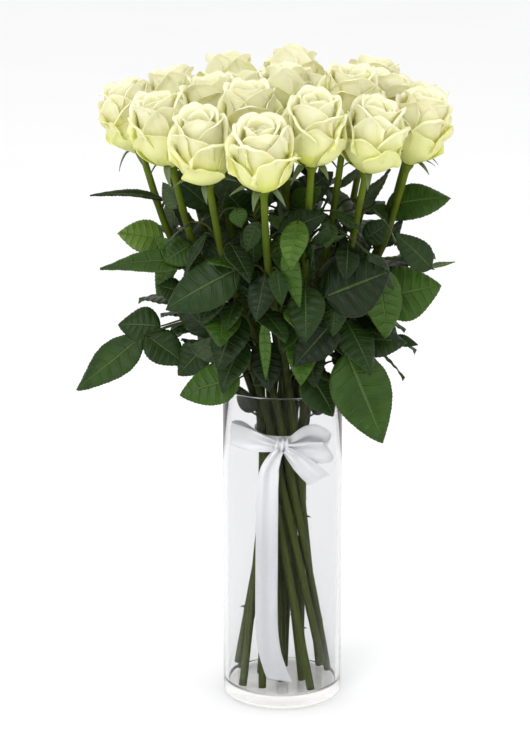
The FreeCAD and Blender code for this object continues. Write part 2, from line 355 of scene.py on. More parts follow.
def petal_material():
    """Cream-white petals, yellow-green on the guard petals and towards their bases, partly their
    own tint and partly painted shade deep in the bloom and on their lower faces.
    """
    n = Nodes("rose_petal")
    up = n.value("up")
    own = n.times(n.value("petal"), 7.0)
    grain = n.wire("ShaderNodeCombineXYZ", n.times(n.value("across"), 26.0), n.times(up, 2.5), own)
    streak = n.noise(1.0, 4.0, 0.55, grain)
    mottle = n.noise(55.0, 3.0)
    # Painted shade: low in the bloom the ramp turns yellow-green, partly the petals' own base
    # tint, partly the shade deep among the petals.
    place = n.math("ADD", up, n.spread(streak, 0.22))
    cream = n.steps(
        place,
        (0.0, (0.55, 0.62, 0.03)),
        (0.25, (0.78, 0.83, 0.15)),
        (0.50, (0.915, 0.906, 0.52)),
        (0.75, (0.950, 0.933, 0.74)),
        (1.0, (0.975, 0.958, 0.86)),
    )
    guard = n.steps(
        place,
        (0.0, (0.53, 0.61, 0.08)),
        (0.42, (0.860, 0.865, 0.48)),
        (0.98, (0.930, 0.920, 0.70)),
    )
    colour = n.mix(n.value("green"), cream, guard)
    # Painted shade: the petals' lower faces are painted yellow-green, most strongly low in the
    # bloom, as the shade in the crevices.
    inside = n.times(n.value("under"), n.span(place, 0.4, 1.0, 0.60, 0.12))
    colour = n.mix(inside, colour, (0.86, 0.89, 0.40))
    colour = n.mix(n.span(mottle, 0.50, 0.80, 0.0, 0.22), colour, (0.84, 0.86, 0.45))
    colour = n.mix(n.times(n.value("bruise"), 0.5), colour, (0.62, 0.46, 0.26))
    relief = n.bump(streak, 0.30, 0.0006)
    relief = n.bump(n.noise(900.0, 2.0), 0.12, 0.0002, relief)
    surface = n.principled(
        Base_Color=colour,
        Roughness=n.span(mottle, 0.2, 0.9, 0.42, 0.58),
        Specular_IOR_Level=0.35,
        Sheen_Weight=0.15,
        Sheen_Roughness=0.5,
        Normal=relief,
    )
    lit = n.mix(n.span(place, 0.45, 1.0, 0.65, 0.28), colour, (0.97, 0.97, 0.26))
    return n.finish(n.see_through(surface, lit, 0.44))


def leaf_material():
    """Dark glossy leaf: pale midrib, arched side veins, a fine net between them, paler beneath."""
    n = Nodes("rose_leaf")
    across = n.size_of("across")
    phase = n.math("FRACT", n.value("vein"))
    near_vein = n.math("ABSOLUTE", n.math("SUBTRACT", phase, 0.5))
    fade = n.span(across, 0.55, 1.0, 1.0, 0.15)
    vein = n.times(n.span(near_vein, 0.40, 0.495), fade)
    midrib = n.span(across, 0.02, 0.075, 1.0, 0.0)
    lines = n.math("MAXIMUM", vein, midrib)
    net = n.make("ShaderNodeTexVoronoi", feature="DISTANCE_TO_EDGE")
    n.feed(net.inputs["Vector"], n.place())
    n.feed(net.inputs["Scale"], 520.0)
    net_line = n.span(net.outputs["Distance"], 0.0, 0.12, 1.0, 0.0)
    blotch = n.noise(38.0, 4.0, 0.6)
    tone = n.math("ADD", n.value("tone"), n.spread(blotch, 0.35))
    upper = n.steps(
        tone,
        (0.0, (0.004, 0.010, 0.002)),
        (0.40, (0.011, 0.031, 0.003)),
        (0.72, (0.038, 0.094, 0.006)),
        (1.0, (0.150, 0.240, 0.040)),
    )
    upper = n.mix(n.times(net_line, 0.10), upper, (0.035, 0.075, 0.016))
    upper = n.mix(n.times(vein, 0.32), upper, (0.055, 0.105, 0.022))
    upper = n.mix(n.times(midrib, 0.50), upper, (0.085, 0.145, 0.034))
    lower = n.mix(n.times(lines, 0.55), (0.060, 0.092, 0.042), (0.115, 0.155, 0.070))
    colour = n.mix(n.value("under"), upper, lower)
    edge = n.span(across, 0.955, 1.0, 0.0, 0.55)
    colour = n.mix(edge, colour, (0.090, 0.080, 0.030))
    relief = n.bump(n.math("SUBTRACT", 1.0, lines), 0.75, 0.0012)
    relief = n.bump(net_line, 0.22, 0.0003, relief)
    relief = n.bump(blotch, 0.25, 0.0012, relief)
    gloss = n.span(blotch, 0.25, 0.75, 0.30, 0.46)
    gloss = n.math("ADD", gloss, n.times(n.value("under"), 0.28))
    surface = n.principled(
        Base_Color=colour,
        Roughness=gloss,
        Specular_IOR_Level=0.19,
        Normal=relief,
    )
    lit = n.mix(0.5, colour, (0.12, 0.26, 0.01))
    return n.finish(n.see_through(surface, lit, 0.14))


def stem_material():
    """Green stem: yellow-green below the bloom, painted darker as shade down to the vase's rim
    under the leaves, and duller and browner towards the cut.
    """
    n = Nodes("rose_stem")
    stretch = n.make("ShaderNodeMapping")
    n.feed(stretch.inputs["Vector"], n.place())
    n.feed(stretch.inputs["Scale"], (380.0, 380.0, 26.0))
    streak = n.noise(1.0, 4.0, 0.6, stretch.outputs[0])
    blotch = n.noise(30.0, 4.0, 0.6)
    place = n.math("ADD", n.value("rise"), n.spread(blotch, 0.16))
    # Painted shade: the stem is darker up through the vase and darkest at its rim under the
    # leaves, then lighter up to the bloom, partly its own yellow-green there.
    colour = n.steps(
        place,
        (0.0, (0.046, 0.058, 0.012)),
        (0.35, (0.036, 0.052, 0.004)),
        (0.55, (0.016, 0.022, 0.004)),
        (0.72, (0.026, 0.038, 0.003)),
        (0.90, (0.056, 0.084, 0.004)),
        (1.0, (0.100, 0.142, 0.008)),
    )
    colour = n.mix(n.span(streak, 0.45, 0.75, 0.0, 0.40), colour, (0.062, 0.080, 0.016))
    colour = n.mix(n.value("woody"), colour, (0.130, 0.085, 0.040))
    colour = n.mix(n.value("pith"), colour, (0.300, 0.330, 0.150))
    relief = n.bump(streak, 0.35, 0.0006)
    surface = n.principled(
        Base_Color=colour,
        Roughness=n.span(blotch, 0.2, 0.8, 0.36, 0.52),
        Specular_IOR_Level=0.08,
        Normal=relief,
    )
    return n.finish(surface)


def sepal_material():
    n = Nodes("rose_sepal")
    blotch = n.noise(120.0, 3.0)
    rib = n.span(n.size_of("across"), 0.0, 0.2, 1.0, 0.0)
    colour = n.steps(
        n.value("along"),
        (0.0, (0.100, 0.150, 0.018)),
        (0.5, (0.055, 0.092, 0.014)),
        (1.0, (0.040, 0.060, 0.012)),
    )
    colour = n.mix(n.value("under"), colour, (0.120, 0.165, 0.065))
    colour = n.mix(n.span(blotch, 0.4, 0.8, 0.0, 0.35), colour, (0.040, 0.064, 0.014))
    surface = n.principled(
        Base_Color=colour,
        Roughness=0.5,
        Normal=n.bump(rib, 0.4, 0.0005),
    )
    return n.finish(n.see_through(surface, colour, 0.15))


def ribbon_material():
    """White satin: fine threads across and along, a firm edge, a soft silky sheen, and painted
    light that makes it lighter high up and greyer low down.
    """
    n = Nodes("satin_ribbon")
    along = n.times(n.value("along"), 900.0)
    threads = n.wire("ShaderNodeCombineXYZ", n.times(n.value("across"), 3.0), along)
    weft = n.noise(1.0, 2.0, 0.5, threads)
    warp = n.math("SINE", n.times(n.value("across"), 160.0))
    edge = n.span(n.size_of("across"), 0.93, 0.99)
    shade = n.noise(60.0, 2.0)
    # Painted light: the satin is painted lighter above the knot's height and greyer on the lower
    # tail, as light falls from above.
    white_lit_from_above = n.mix(n.span(n.height(), 0.14, 0.24), (0.65, 0.65, 0.67), (0.90, 0.90, 0.91))
    colour = n.mix(n.span(shade, 0.3, 0.8, 0.0, 0.25), white_lit_from_above, (0.70, 0.705, 0.73))
    colour = n.mix(n.times(edge, 0.3), colour, (0.88, 0.88, 0.89))
    relief = n.bump(weft, 0.16, 0.0003)
    relief = n.bump(warp, 0.05, 0.0002, relief)
    relief = n.bump(edge, 0.40, 0.0003, relief)
    surface = n.principled(
        Base_Color=colour,
        Roughness=n.span(weft, 0.2, 0.8, 0.24, 0.36),
        Specular_IOR_Level=0.65,
        Sheen_Weight=0.25,
        Sheen_Roughness=0.35,
        Normal=relief,
    )
    return n.finish(n.see_through(surface, (0.72, 0.72, 0.74), 0.20))


def floor_material():
    n = Nodes("pale_floor")
    colour = n.steps(n.noise(3.0, 2.0), (0.0, (0.85, 0.85, 0.855)), (1.0, (0.87, 0.87, 0.875)))
    return n.finish(n.principled(Base_Color=colour, Roughness=0.9, Specular_IOR_Level=0.1))


# --- reading the frame


def cad_points(node):
    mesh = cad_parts[node].data
    points = np.empty(len(mesh.vertices) * 3)
    mesh.vertices.foreach_get("co", points)
    return points.reshape(-1, 3)


def cad_triangles(node):
    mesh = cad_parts[node].data
    mesh.calc_loop_triangles()
    corners = np.empty(len(mesh.loop_triangles) * 3, dtype=np.int64)
    mesh.loop_triangles.foreach_get("vertices", corners)
    return corners.reshape(-1, 3)


def slice_centre(points, edges, height):
    """The middle of a node's outline at one height."""
    low, high = points[edges[:, 0]], points[edges[:, 1]]
    crossing = (low[:, 2] - height) * (high[:, 2] - height) < 0
    low, high = low[crossing], high[crossing]
    share = (height - low[:, 2]) / (high[:, 2] - low[:, 2])
    cut = low + (high - low) * share[:, None]
    return (cut.min(axis=0) + cut.max(axis=0)) / 2.0


def stem_line(node):
    """A stem's centre-line, from its cut foot to the foot of its hip, and its direction there."""
    points, triangles = cad_points(node), cad_triangles(node)
    edges = np.concatenate([triangles[:, [0, 1]], triangles[:, [1, 2]], triangles[:, [2, 0]]])
    low, high = points[:, 2].min(), points[:, 2].max()
    heights = np.linspace(low + 1.2 * MM, high - 14.0 * MM, 60)
    line = np.array([slice_centre(points, edges, height) for height in heights])
    foot = line[0] + (line[0] - line[1]) * (0.7 * MM / (line[1, 2] - line[0, 2]))
    neck = unit(line[-1] - line[-5])
    reach = ((points - line[-1]) @ neck).max()
    return np.concatenate([[foot], line, [line[-1] + neck * (reach - HIP_HEIGHT)]]), neck


def islands(triangles, count):
    """Groups of points that share triangles, as one label per point."""
    label = np.arange(count)
    while True:
        lowest = label[triangles].min(axis=1)
        fresh = label.copy()
        for k in range(3):
            np.minimum.at(fresh, triangles[:, k], lowest)
        fresh = fresh[fresh]
        if np.array_equal(fresh, label):
            return label
        label = fresh


def weld(points, triangles):
    """The same triangles on points joined where they coincide."""
    cells = np.round(points / (0.01 * MM)).astype(np.int64)
    keys, where = np.unique(cells, axis=0, return_inverse=True)
    where = where.reshape(-1)
    joined = np.zeros((len(keys), 3))
    joined[where] = points
    return joined, where[triangles]


def blade_of(points, triangles):
    """Base, tip, width and upper side of one CAD leaf, read from its flat blade."""
    a, b, c = (points[triangles[:, k]] for k in range(3))
    cross = np.cross(b - a, c - a)
    area = norm(cross, axis=1)
    normals = cross / np.maximum(area[:, None], 1e-15)
    totals = [area[np.abs(normals @ normal) > 0.9995].sum() for normal in normals]
    face = normals[int(np.argmax(totals))]
    flat = triangles[np.abs(normals @ face) > 0.9995]
    used = np.unique(flat)
    levels = points[used] @ face
    outline = points[used[np.abs(levels - levels.max()) < 0.05 * MM]]
    gaps = norm(outline[:, None] - outline[None], axis=2)
    one, two = np.unravel_index(int(np.argmax(gaps)), gaps.shape)
    root = points[np.argmin(norm(points[:, :2], axis=1))]
    ends = sorted((outline[one], outline[two]), key=lambda p: norm(p - root))
    base, tip = ends
    side = unit(np.cross(unit(tip - base), face))
    reach = (outline - base) @ side
    outward = unit(np.array([base[0], base[1], 0.0])) * 0.6 + 0.8 * UP
    if face @ outward < 0:
        face = -face
    return base, tip, reach.max() - reach.min(), face


# --- vase


def round_corner(centre, radius, start, end, steps):
    turns = np.radians(np.linspace(start, end, steps))
    return [(centre[0] + radius * cos(t), centre[1] + radius * sin(t)) for t in turns]


def make_vase(material):
    """The glass as one lathed shell, with a soft foot edge and a fire-polished rim."""
    low, high = (np.array(corner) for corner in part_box("vase"))
    outer = (high[0] - low[0]) / 2.0
    base, foot, fillet = VASE_BASE, VASE_FOOT_ROUND, VASE_FLOOR_ROUND
    inner, rim = outer - VASE_WALL, VASE_WALL / 2.0
    section = [(0.0, 0.0), (outer * 0.5, 0.0)]
    section += round_corner((outer - foot, foot), foot, -90, 0, 9)
    section += [(outer, high[2] * share) for share in (0.25, 0.5, 0.75)]
    section += round_corner((outer - rim, high[2] - rim), rim, 0, 180, 13)
    section += [(inner, high[2] * share) for share in (0.75, 0.5, 0.25)]
    section += round_corner((inner - fillet, base + fillet), fillet, 0, -90, 9)
    section += [(outer * 0.5, base), (0.0, base)]
    sides = 160
    turn = np.linspace(0.0, 2.0 * pi, sides, endpoint=False)
    rings = [
        np.stack([r * np.cos(turn), r * np.sin(turn), np.full(sides, z)], axis=1)
        for r, z in section[1:-1]
    ]
    points = np.concatenate(rings + [[(0.0, 0.0, 0.0)], [(0.0, 0.0, base)]])
    faces = grid_faces(len(rings), sides, closed=True)
    bottom, top = len(points) - 2, len(points) - 1
    last = (len(rings) - 1) * sides
    for j in range(sides):
        after = (j + 1) % sides
        faces.append((after, j, bottom))
        faces.append((last + j, last + after, top))
    soup = Soup()
    soup.add(points, faces)
    vase = soup.build("glass_vase", [material])
    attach(vase, "vase")
    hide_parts("vase")


# --- stems


# Thorns in the vase stay within this distance of its axis; thorns above this height need not.
THORN_REACH = 49.0 * MM
ABOVE_VASE = 310.0 * MM

# Thorns grow in these spans of a stem, in millimetres, most of the time.
THORN_SPANS = ((45, 90), (95, 150), (150, 195), (370, 400), (410, 440))


def add_thorn(soup, root, forward, outward, size):
    """A small curved thorn that hooks towards the foot of the stem."""
    down = -forward
    line = [
        root - outward * 0.8 * MM,
        root + outward * 0.35 * size,
        root + outward * 0.75 * size + down * 0.12 * size,
        root + outward * size + down * 0.38 * size,
    ]
    radii = np.array([0.34, 0.24, 0.12, 0.02]) * size
    soup.tube(line, radii, 8, woody=[0.0, 0.3, 0.8, 1.0], rise=0.4)


def add_sepal(soup, base, axis, turn, length, opening, rng):
    """One narrow pointed sepal that leaves the hip and bends out and down."""
    side = unit(np.cross(axis, [0.35, 0.9, 0.1]))
    outward = cos(turn) * side + sin(turn) * np.cross(axis, side)
    sideways = np.cross(axis, outward)
    rows, columns = 14, 7
    along = np.linspace(0.0, 1.0, rows)
    bend = np.radians(30.0 + (opening - 30.0) * smooth(along, 0.0, 0.45) + 25.0 * along**2)
    step = length / (rows - 1)
    heading = np.sin(bend)[:, None] * outward + np.cos(bend)[:, None] * axis
    sway = rng.uniform(-0.25, 0.25) * along[:, None] * sideways
    line = base + outward * 5.2 * MM + np.cumsum(unit(heading + sway), axis=0) * step
    face = -np.cos(bend)[:, None] * outward + np.sin(bend)[:, None] * axis
    half = 0.115 * length * np.sin(pi * np.clip(along, 0.02, 1.0) ** 0.62) + 0.25 * MM
    across = np.linspace(-1.0, 1.0, columns)
    grid = (
        line[:, None]
        + across[None, :, None] * half[:, None, None] * sideways
        + (np.abs(across) ** 1.5 * 0.35)[None, :, None] * half[:, None, None] * face[:, None]
    )
    soup.shell(grid, 0.35 * MM, slot=1, across=across[None], along=along[:, None])


def make_stem(name, materials, rng):
    line, neck = stem_line("stem_" + name)
    count = 76
    run = even_line(line, count)
    height = run[:, 2]
    radii = np.interp(height, [0.0, 0.25, 0.42, 0.52], [3.55, 3.45, 3.25, 3.05]) * MM
    radii = radii + 0.06 * MM * np.sin(height / MM * 0.11 + rng.uniform(0, 6))
    forward = unit(np.gradient(run, axis=0))
    soup = Soup()
    for place in rng.uniform([0.05, 0.13, 0.34, 0.42], [0.11, 0.2, 0.38, 0.48]):
        radii += 0.42 * MM * np.exp(-(((height - place) / (2.4 * MM)) ** 2))
    hip = np.array([1.5, 3.5, 5.5, 7.5, 9.0, 10.5])
    swell = np.array([3.2, 3.6, 4.4, 5.3, 5.6, 4.6]) * MM
    body = np.concatenate([run, run[-1] + hip[:, None] * MM * neck])
    fullness = np.concatenate([radii, swell])
    rise = smooth(body[:, 2], 0.0, 0.52) * 0.9 + 0.1 * smooth(body[:, 2], 0.44, 0.52)
    soup.tube(body, fullness, 16, rise=rise)
    cut = run[0] - forward[0] * 0.25 * MM
    soup.tube([run[0] + forward[0] * 0.2 * MM, cut], np.array([3.5, 3.2]) * MM, 16, pith=1.0)
    for low, high in THORN_SPANS:
        if rng.random() < 0.2:
            continue
        at = int(np.argmin(np.abs(height - rng.uniform(low, high) * MM)))
        turn = rng.uniform(0.0, 2.0 * pi)
        side = unit(np.cross(forward[at], [0.3, 0.9, 0.2]))
        outward = cos(turn) * side + sin(turn) * np.cross(forward[at], side)
        size = rng.uniform(2.8, 4.2) * MM
        root = run[at] + outward * (radii[at] - 0.2 * MM)
        inside = norm((root + outward * size)[:2]) < THORN_REACH
        if inside or height[at] > ABOVE_VASE:
            add_thorn(soup, root, forward[at], outward, size)
    hip_top = body[-2]
    start = rng.uniform(0.0, 2.0 * pi)
    for k in range(5):
        turn = start + k * 2.0 * pi / 5.0 + rng.uniform(-0.2, 0.2)
        length = rng.uniform(20.0, 31.0) * MM
        opening = rng.choice([62.0, 95.0, 125.0, 140.0]) + rng.uniform(-8.0, 8.0)
        add_sepal(soup, hip_top, neck, turn, length, opening, rng)
    stem = soup.build("rose_stem_" + name, materials)
    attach(stem, "bouquet")
    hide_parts("stem_" + name)
    return line, neck


# --- blooms


def petal_points(rng, rows, columns, shape):
    """One petal standing on the bloom's base, as a grid of local points in millimetres."""
    u = np.linspace(-1.0, 1.0, columns)[None, :]
    v = np.linspace(0.0, 1.0, rows)[:, None]
    phase = rng.uniform(0.0, 2.0 * pi, 6)
    top = 1.0 - shape["shoulder"] * np.abs(u) ** 2.5 + shape["point"] * np.exp(-((u / 0.20) ** 2))
    ruffle = np.sin(4.2 * u + phase[0]) + 0.4 * np.sin(9.0 * u + phase[1])
    top = top + shape["ruffle"] * ruffle
    share = v * top
    z = shape["height"] * share
    rise = np.clip(share / shape["belly_at"], 0.0, 1.0)
    fall = smooth(share, shape["belly_at"], 1.0)
    radius = 3.5 + (shape["belly"] - 3.5) * np.sin(0.5 * pi * rise) ** 0.85
    radius = radius + (shape["lip"] - shape["belly"]) * fall
    radius = radius + shape["spiral"] * u * smooth(v, 0.0, 0.5)
    half = shape["half"] * (0.72 + 0.28 * smooth(v, 0.0, 0.55))
    angle = u * half
    top_gap = (1.0 - v) * shape["height"] * top
    side_gap = (1.0 - np.abs(u)) * half * radius
    side_on = smooth(v, 0.42, 0.85) * (1.0 + shape["uneven"] * u)
    by_top = np.clip(1.0 - top_gap / shape["roll_depth"], 0.0, 1.0)
    by_side = np.clip(1.0 - side_gap / (1.25 * shape["roll_depth"]), 0.0, 1.0) * side_on
    total = by_top**3 + by_side**3
    edge = np.clip(total ** (1.0 / 3.0), 0.0, 1.15)
    top_share = by_top**3 / np.maximum(total, 1e-6)
    length = edge * shape["roll_depth"]
    uneven_roll = 0.85 + 0.40 * np.sin(2.3 * u + phase[5]) * np.cos(1.1 * u + phase[0])
    curl = shape["roll"] * uneven_roll * edge**1.75
    bend_radius = length / np.maximum(curl, 1e-3)
    outward = bend_radius * (1.0 - np.cos(curl))
    pull = length - bend_radius * np.sin(curl)
    radius = radius + outward
    z = z - pull * top_share
    angle = angle - np.sign(u) * pull * (1.0 - top_share) / np.maximum(radius, 4.0)
    wave = np.sin(2.6 * u + phase[2]) * np.sin(3.4 * v + phase[3])
    radius = radius + shape["wave"] * wave * smooth(v, 0.1, 0.9)
    radius = radius - shape["crease"] * np.exp(-((u / 0.16) ** 2)) * smooth(v, 0.25, 0.8)
    z = z + 0.5 * shape["wave"] * np.sin(5.0 * u + phase[4]) * v**2
    radius = radius + tan(shape["lean"]) * z
    x = radius * np.cos(angle + shape["turn"])
    y = radius * np.sin(angle + shape["turn"])
    return np.stack([x, y, z], axis=2), share, edge


def bloom_petals(rng, openness):
    """The petals of one bloom from its tight heart outward, as shape values in millimetres."""
    petals = []
    turn = rng.uniform(0.0, 2.0 * pi)
    heart, middle, cup, guard = 9, 8, 6, 4
    for k in range(heart):
        t = k / (heart - 1)
        petals.append(dict(
            height=49.5 + 9.0 * t + rng.uniform(-1.0, 1.0), belly=5.0 + 8.2 * t, belly_at=0.45,
            lip=1.8 + 8.2 * t * (0.9 + 0.2 * openness), half=2.25 - 0.75 * t,
            shoulder=0.10 + 0.06 * t,
            point=0.0, ruffle=0.012, spiral=1.3, roll=0.30 + 0.5 * t, roll_depth=3.0 + 2.5 * t,
            wave=0.30, crease=0.0, lean=0.0, uneven=0.2, green=0.0, shade=2.3 - 0.5 * t,
        ))
    for k in range(middle):
        t = k / (middle - 1)
        petals.append(dict(
            height=62.5 + 4.0 * sin(2.6 * t) - 3.0 * t + rng.uniform(-1.5, 1.5),
            belly=13.8 + 8.4 * t, belly_at=0.45,
            lip=10.6 + (9.0 + 2.0 * openness) * t, half=1.45 - 0.30 * t, shoulder=0.17 + 0.05 * t,
            point=0.012, ruffle=0.014, spiral=1.2, roll=0.8 + 0.7 * t, roll_depth=6.0 + 3.0 * t,
            wave=0.45, crease=0.3, lean=0.0, uneven=0.3, green=0.0, shade=1.8 - 0.7 * t,
        ))
    for k in range(cup):
        t = k / (cup - 1)
        petals.append(dict(
            height=61.0 - 14.0 * t + rng.uniform(-3.0, 3.0), belly=22.8 + 3.0 * t, belly_at=0.46,
            lip=20.6 + (3.6 + 2.2 * openness) * t, half=1.12 - 0.16 * t, shoulder=0.26,
            point=0.045, ruffle=0.022, spiral=1.1, roll=1.20 + 0.50 * t * rng.uniform(0.5, 1.5),
            roll_depth=10.0 + 2.5 * t, wave=0.65, crease=0.6, lean=0.02 * openness * t,
            uneven=rng.uniform(-0.6, 0.6), green=0.10 * t, shade=0.95,
        ))
    for k in range(guard):
        t = k / (guard - 1)
        petals.append(dict(
            height=41.0 - 13.0 * t + rng.uniform(-3.0, 4.0), belly=26.3 + 0.9 * t, belly_at=0.62,
            lip=26.6 + 1.4 * openness, half=0.92 - 0.18 * t, shoulder=0.34,
            point=0.055, ruffle=0.034, spiral=0.7, roll=rng.uniform(0.5, 1.7), roll_depth=7.5,
            wave=0.7, crease=0.5, lean=0.015, uneven=rng.uniform(-0.7, 0.7),
            green=0.40 + 0.35 * t, shade=0.85,
        ))
    for k, petal in enumerate(petals):
        petal["turn"] = turn + k * GOLDEN_TURN + rng.uniform(-0.16, 0.16)
    return petals


# A bloom's petals are drawn a little narrower and taller than the values above.
BLOOM_SHAPE = np.array([0.93, 0.93, 1.06])


def make_bloom(name, base, axis, material, rng, openness):
    """A whole bloom: a spiral heart, rolled cup petals and greener guard petals."""
    soup = Soup()
    turned = frame_from(np.cross(axis, [0.2, 0.1, 0.97]), axis)
    rows, columns = 19, 21
    for k, shape in enumerate(bloom_petals(rng, openness)):
        local, share, edge = petal_points(rng, rows, columns, shape)
        points = base + (local * BLOOM_SHAPE * MM) @ turned.T
        # Each point's height in the bloom, pulled greener by the petal's shade factor: partly the
        # petal's own base tint, partly painted shade deep in the bloom.
        up = share * shape["height"] / 60.0 + 0.05 * edge
        up = np.clip(1.0 - (1.0 - up) * shape["shade"], 0.0, 1.0)
        across = np.broadcast_to(np.linspace(-1.0, 1.0, columns)[None], up.shape)
        bruise = 0.0 if rng.random() < 0.8 else 0.35
        soup.shell(
            points, PETAL_THICKNESS, up=up, across=across,
            petal=rng.random(), green=shape["green"], bruise=bruise * edge**3,
        )
    core = [base + axis * z * MM for z in (0.5, 6.0, 20.0, 40.0, 50.0, 54.0)]
    soup.tube(core, np.array([3.2, 5.0, 5.0, 4.0, 2.2, 0.4]) * MM, 10, up=0.15, petal=0.5)
    bloom = soup.build("rose_bloom_" + name, [material])
    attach(bloom, "bouquet")
    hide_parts("bloom_" + name)


# --- leaves


def leaf_grid(rng, length, width, droop, fold):
    """A serrate rose leaflet in its own plane: x across, y from base to tip, z up."""
    teeth = max(14, int(length / (3.1 * MM)))
    rows = 3 * teeth + 1
    columns = 15
    t = np.linspace(0.0, 1.0, rows)[:, None]
    u = np.linspace(-1.0, 1.0, columns)[None, :]
    u = np.sign(u) * np.abs(u) ** 0.85
    half = 0.5 * width * np.sin(pi * np.clip(t, 0.0, 1.0) ** 0.74) ** 0.82
    half = half * (1.0 - 0.22 * smooth(t, 0.55, 1.0) * (1.0 - t)) + 0.2 * MM
    saw = (np.arange(rows) % 3)[:, None] / 3.0
    bite = 1.0 - np.abs(u) ** 14 * 0.95 * MM * saw * smooth(t, 0.04, 0.16) / np.maximum(half, MM)
    x = u * half * bite
    pairs = 7.0
    vein = pairs * (t - 0.42 * np.abs(u) * half / length * (1.15 - 0.4 * np.abs(u))) + 0.5
    quilt = np.cos(2.0 * pi * (vein - 0.5))
    phase = rng.uniform(0.0, 2.0 * pi, 3)
    z = fold * np.abs(x) * smooth(np.abs(u), 0.0, 0.3)
    z = z - 0.009 * width * quilt * smooth(np.abs(u), 0.05, 0.4) * smooth(t, 0.02, 0.2)
    z = z - droop * length * t**2 - 0.10 * width * np.abs(u) ** 2.2
    z = z + 0.030 * width * np.sin(9.0 * t + phase[0] + 0.8 * np.sign(u)) * np.abs(u) ** 2
    z = z + 0.020 * length * np.sin(3.2 * t + phase[1])
    side_bend = rng.uniform(-0.06, 0.06) * length * t**2
    y = length * t - droop**2 * length * t**3 * 0.5
    grid = np.stack([x + side_bend, y + 0.0 * x, z], axis=2)
    return grid, u + 0.0 * t, vein + 0.0 * t


def add_leaf(soup, rng, base, tip, width, face, tone):
    """A leaflet whose base and tip stay where they are told, whatever its droop."""
    length = float(norm(tip - base))
    droop = rng.uniform(0.05, 0.16)
    fold = rng.uniform(0.10, 0.30)
    grid, across, vein = leaf_grid(rng, length, width, droop, fold)
    middle = grid[:, grid.shape[1] // 2]
    own = frame_from(middle[-1] - middle[0], [0.0, 0.0, 1.0])
    told = frame_from(tip - base, face)
    turned = told @ own.T
    scale = length / norm(middle[-1] - middle[0])
    points = base + ((grid - middle[0]) * scale) @ turned.T
    soup.shell(points, LEAF_THICKNESS, across=across, vein=vein, tone=tone)
    return points


def add_petiole(soup, root, base, along):
    """The leaf stalk: it leaves the stem upward and turns into the blade's line."""
    span = norm(base - root)
    middle = root + (base - root) * 0.45 + 0.22 * span * UP
    line = smooth_line([root, middle, base, base + along * 4.0 * MM], 16)
    soup.tube(line, np.linspace(1.5, 0.7, 16) * MM, 8, slot=1, rise=0.62)


def point_at(line, height):
    return np.array([np.interp(height, line[:, 2], line[:, k]) for k in range(3)])


def far_enough(points, cloud, gap):
    """True when no point of a leaf comes nearer than gap to the cloud."""
    near = cloud[norm(cloud - points.mean(axis=0), axis=1) < LEAF_SPAN]
    if len(near) == 0:
        return True
    return norm(points[:, None] - near[None], axis=2).min() > gap


def hang_leaf(soup, rng, line, base, tip, width, face, tone):
    """A leaflet with its stalk to the stem line that carries it."""
    points = add_leaf(soup, rng, base, tip, width, face, tone)
    root = point_at(line, base[2] - PETIOLE_RISE)
    add_petiole(soup, root, base, unit(tip - base))
    return points


def thin(points, step_rows, step_columns):
    return points[::step_rows, ::step_columns].reshape(-1, 3)


def make_cad_leaves(name, line, materials, rng, cloud):
    """Every leaflet of one stem's CAD node, rebuilt between the same base and tip."""
    points, triangles = weld(cad_points("leaves_" + name), cad_triangles("leaves_" + name))
    label = islands(triangles, len(points))
    soup = Soup()
    for island in np.unique(label[np.unique(triangles)]):
        own = triangles[label[triangles[:, 0]] == island]
        base, tip, width, face = blade_of(points, own)
        tone = rng.uniform(0.05, 0.50)
        for place, told in LEAF_TONES:
            if norm(base - np.array(place) * MM) < SAME_LEAF:
                tone = told
        leaf = hang_leaf(soup, rng, line, base, tip, width * 1.04, face, tone)
        cloud.append(thin(leaf, 3, 3))
    piece = soup.build("rose_leaves_" + name, materials)
    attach(piece, "bouquet")
    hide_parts("leaves_" + name)


